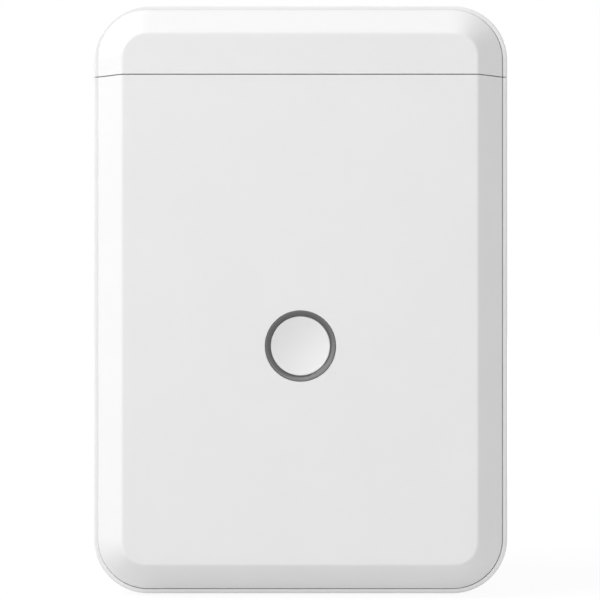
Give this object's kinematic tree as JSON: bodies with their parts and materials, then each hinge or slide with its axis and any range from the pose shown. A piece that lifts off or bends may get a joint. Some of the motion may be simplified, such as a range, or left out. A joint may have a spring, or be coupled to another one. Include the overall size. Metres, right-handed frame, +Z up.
{
  "type": "thermal label printer",
  "caption": "Upright rounded box that prints label tape: bevelled front panel with a ringed round button, flip-up lid over a drop-in tape cassette, side exit with a cutter, rear battery door.",
  "frame": {"origin": "on the ground under the middle of the body", "axes": "+Z up, the front panel with its button faces -Y, +X to the right in the front view"},
  "size_m": [0.0926, 0.055, 0.1319],
  "materials": {
    "casing_white": "fine satin moulded ABS",
    "ring_grey": "smoked translucent acrylic",
    "inner_black": "black moulded plastic",
    "cassette_grey": "pale grey moulded plastic",
    "gear_ivory": "natural acetal",
    "steel": "zinc-plated sheet and turned pins",
    "blade_steel": "hardened and ground",
    "motor_can": "drawn plated can",
    "alloy": "extruded and anodised",
    "head_ceramic": "glazed alumina",
    "board_green": "solder mask on glass epoxy",
    "chip_black": "moulded epoxy",
    "shield_tin": "tinned shield can",
    "led_clear": "clear resin",
    "black_rubber": "matt moulded rubber",
    "clear_silicone": "translucent silicone pad",
    "tape_white": "white label tape",
    "ribbon_film": "wound ink film",
    "cell_jacket": "plain printed-free shrink sleeve",
    "contact_nickel": "nickel-plated spring steel",
    "pinion_brass": "turned brass"
  },
  "bodies": {
    "case": {"main_case": "casing_white", "front_cover": "casing_white", "light_ring": "ring_grey", "chassis": "inner_black", "battery_box": "inner_black", "exit_guide": "inner_black", "power_inlet": "inner_black", "cassette_base": "cassette_grey", "cassette_cover": "cassette_grey", "hinge_pin": "steel", "case_screws": "steel", "board_screws": "steel", "chassis_screws": "steel", "gear_plate": "steel", "gear_post": "steel", "gear_plate_screws": "steel", "head_pivot": "steel", "head_spring": "steel", "cutter_frame": "steel", "cutter_screws": "steel", "blade_pivot": "steel", "fixed_blade": "blade_steel", "feed_motor": "motor_can", "cutter_motor": "motor_can", "main_board": "board_green", "board_parts": "chip_black", "tact_switch": "chip_black", "radio_module": "shield_tin", "indicator_leds": "led_clear", "rubber_feet": "clear_silicone", "tape_leader": "tape_white", "batteries": "cell_jacket", "battery_plates": "contact_nickel", "battery_springs": "contact_nickel"},
    "lid": {"lid_shell": "casing_white", "lid_front": "casing_white"},
    "button": {"button_cap": "casing_white", "switch_plunger": "chip_black"},
    "door": {"battery_door": "casing_white"},
    "tape": {"tape_roll": "tape_white", "tape_core": "cassette_grey"},
    "supply": {"ribbon_supply": "ribbon_film"},
    "take_up": {"ribbon_gear": "gear_ivory", "ribbon_take_up": "ribbon_film"},
    "platen": {"platen_gear": "gear_ivory", "platen_core": "cassette_grey", "platen_roller": "black_rubber"},
    "idler": {"idler_gear": "gear_ivory"},
    "reduction": {"reduction_gear": "gear_ivory"},
    "rotor": {"motor_shaft": "steel", "motor_pinion": "pinion_brass"},
    "head": {"head_arm": "steel", "heat_sink": "alloy", "print_head": "head_ceramic"},
    "blade": {"moving_blade": "blade_steel"},
    "cutter_drive": {"cutter_gear": "gear_ivory"},
    "cutter_rotor": {"cutter_pinion": "pinion_brass"}
  },
  "joints": [
    {"name": "lid_hinge", "type": "hinge", "parent": "case", "child": "lid", "pos_m": [0, 0.0249, 0.1159], "axis": [-1, 0, 0], "range_deg": [0, 90]},
    {"name": "button_press", "type": "slide", "parent": "case", "child": "button", "axis": [0, 1, 0], "range_m": [0, 0.0004], "stiffness_N_per_m": 400},
    {"name": "door_hinge", "type": "hinge", "parent": "case", "child": "door", "pos_m": [0, 0.0265, 0.0063], "axis": [-1, 0, 0], "range_deg": [0, 95]},
    {"name": "tape_roll_spin", "type": "hinge", "parent": "case", "child": "tape", "pos_m": [0.0205, -0.0017, 0.1057], "axis": [0, 0, 1], "continuous": true},
    {"name": "ribbon_supply_spin", "type": "hinge", "parent": "case", "child": "supply", "pos_m": [-0.0028, 0.00858, 0.1057], "axis": [0, 0, 1], "continuous": true},
    {"name": "ribbon_take_up_spin", "type": "hinge", "parent": "case", "child": "take_up", "pos_m": [-0.0135, 0.00838, 0.1057], "axis": [0, 0, 1], "continuous": true},
    {"name": "platen_spin", "type": "hinge", "parent": "case", "child": "platen", "pos_m": [-0.0115, -0.0129, 0.1057], "axis": [0, 0, 1], "continuous": true},
    {"name": "idler_spin", "type": "hinge", "parent": "case", "child": "idler", "pos_m": [-0.00986, -0.00253, 0.0847], "axis": [0, 0, 1], "continuous": true},
    {"name": "reduction_spin", "type": "hinge", "parent": "case", "child": "reduction", "pos_m": [-0.00136, -0.00253, 0.0795], "axis": [0, 0, 1], "continuous": true},
    {"name": "motor_spin", "type": "hinge", "parent": "case", "child": "rotor", "pos_m": [0.01164, -0.00253, 0.0795], "axis": [0, 0, 1], "continuous": true},
    {"name": "head_swing", "type": "hinge", "parent": "case", "child": "head", "pos_m": [0.0015, -0.00445, 0.1057], "axis": [0, 0, -1], "range_deg": [-0.1, 5.1], "deforming": ["head_spring"]},
    {"name": "blade_swing", "type": "hinge", "parent": "case", "child": "blade", "pos_m": [-0.0279, -0.0096, 0.0912], "axis": [1, 0, 0], "range_deg": [0, 27]},
    {"name": "cutter_gear_spin", "type": "hinge", "parent": "case", "child": "cutter_drive", "pos_m": [-0.0334, -0.0096, 0.0792], "axis": [1, 0, 0], "range_deg": [-82, 1]},
    {"name": "cutter_motor_spin", "type": "hinge", "parent": "case", "child": "cutter_rotor", "pos_m": [-0.0334, -0.0096, 0.0672], "axis": [1, 0, 0], "range_deg": [-1, 244]}
  ],
  "couplings": [
    {"joint": "platen_spin", "follows": "tape_roll_spin", "ratio": -3.7333},
    {"joint": "idler_spin", "follows": "tape_roll_spin", "ratio": 4.1067},
    {"joint": "ribbon_take_up_spin", "follows": "tape_roll_spin", "ratio": -3.159},
    {"joint": "reduction_spin", "follows": "tape_roll_spin", "ratio": -5.8667},
    {"joint": "motor_spin", "follows": "tape_roll_spin", "ratio": 19.556},
    {"joint": "ribbon_supply_spin", "follows": "tape_roll_spin", "ratio": -3.3333},
    {"joint": "head_swing", "follows": "lid_hinge", "ratio": 0.055556},
    {"joint": "cutter_gear_spin", "follows": "blade_swing", "ratio": -3},
    {"joint": "cutter_motor_spin", "follows": "blade_swing", "ratio": 9}
  ]
}
